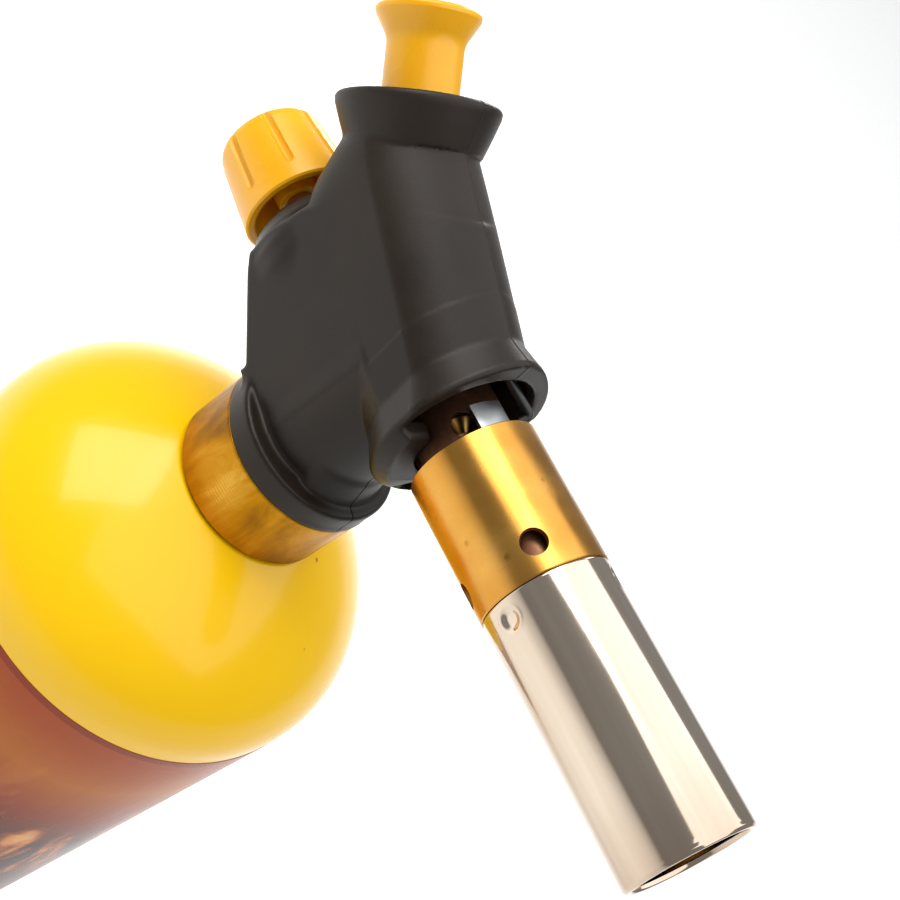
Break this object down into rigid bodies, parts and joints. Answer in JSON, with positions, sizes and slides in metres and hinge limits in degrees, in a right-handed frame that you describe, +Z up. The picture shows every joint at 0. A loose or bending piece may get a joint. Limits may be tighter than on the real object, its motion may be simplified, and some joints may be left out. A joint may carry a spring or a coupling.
{
  "type": "propane torch",
  "caption": "Hand-held propane torch on an upright fuel cylinder, with a flame tube, a fluted valve knob and a push-button igniter.",
  "frame": {"origin": "centre of the fuel cylinder's base, on the surface it stands on", "axes": "+Z up the cylinder, +X towards the flame tube's mouth, Y across the two body halves"},
  "size_m": [0.13, 0.0764, 0.3313],
  "materials": {
    "yellow_enamel": "gloss enamel",
    "printed_label": "gloss printed film",
    "zinc_steel": "zinc plated",
    "turned_brass": "turned",
    "aged_brass": "turned, tarnished",
    "polished_brass": "polished",
    "heat_brown_brass": "heat browned",
    "sintered_bronze": "sintered",
    "bright_steel": "bright drawn",
    "spring_steel": "drawn wire",
    "black_rubber": "moulded",
    "alumina": "fired",
    "black_plastic": "moulded",
    "charcoal_plastic": "fine spark texture",
    "yellow_plastic": "moulded",
    "lead_insulation": "extruded"
  },
  "bodies": {
    "tank": {"tank_shell": "yellow_enamel", "tank_base": "yellow_enamel", "tank_label": "printed_label", "tank_neck": "zinc_steel", "core_body": "turned_brass", "relief_valve": "turned_brass", "core_spring": "spring_steel"},
    "valve_pin": {"core_pin": "turned_brass", "core_seal": "black_rubber"},
    "torch_head": {"collar": "aged_brass", "inlet_seal": "black_rubber", "inlet_probe": "turned_brass", "inlet_filter": "sintered_bronze", "valve_block": "turned_brass", "gland_nut": "turned_brass", "mixer_tube": "heat_brown_brass", "burner_sleeve": "polished_brass", "flame_tube": "bright_steel", "flame_holder": "turned_brass", "gas_jet": "turned_brass", "jet_filter": "sintered_bronze", "ground_tab": "zinc_steel", "electrode_insulator": "alumina", "electrode": "spring_steel", "piezo_case": "black_plastic", "piezo_crystal": "alumina", "piezo_anvil": "zinc_steel", "ignition_lead": "lead_insulation", "shell_right": "charcoal_plastic", "shell_left": "charcoal_plastic", "shell_screws": "zinc_steel", "hammer_spring": "spring_steel", "button_spring": "spring_steel"},
    "stem_feed": {"stem_ring": "black_rubber"},
    "knob": {"valve_stem": "turned_brass", "valve_knob": "yellow_plastic", "knob_screw": "zinc_steel"},
    "button": {"button": "yellow_plastic"},
    "hammer": {"piezo_hammer": "spring_steel"}
  },
  "joints": [
    {"name": "head_lift", "type": "slide", "parent": "tank", "child": "torch_head", "axis": [0, 0, 1], "range_m": [0, 0.0135]},
    {"name": "valve_pin_rise", "type": "slide", "parent": "tank", "child": "valve_pin", "axis": [0, 0, 1], "range_m": [0, 0.0015], "deforming": ["core_spring"]},
    {"name": "stem_feed_slide", "type": "slide", "parent": "torch_head", "child": "stem_feed", "axis": [-0.9901, 0, -0.1404], "range_m": [0, 0.0012]},
    {"name": "knob_turn", "type": "hinge", "parent": "stem_feed", "child": "knob", "pos_m": [-0.03327, 0, 0.28976], "axis": [-0.9901, 0, -0.1404], "range_deg": [0, 540]},
    {"name": "button_press", "type": "slide", "parent": "torch_head", "child": "button", "axis": [0.8224, 0, -0.5688], "range_m": [0, 0.006], "stiffness_N_per_m": 1500, "springref_m": -0.002, "deforming": ["button_spring", "hammer_spring"]},
    {"name": "hammer_strike", "type": "slide", "parent": "torch_head", "child": "hammer", "axis": [0.8224, 0, -0.5688], "range_m": [0, 0.0034]}
  ],
  "couplings": [
    {"joint": "valve_pin_rise", "follows": "head_lift", "ratio": 0.11111},
    {"joint": "stem_feed_slide", "follows": "knob_turn", "m_per_rad": 0.00012732},
    {"joint": "hammer_strike", "follows": "button_press", "ratio": 0.5666}
  ]
}
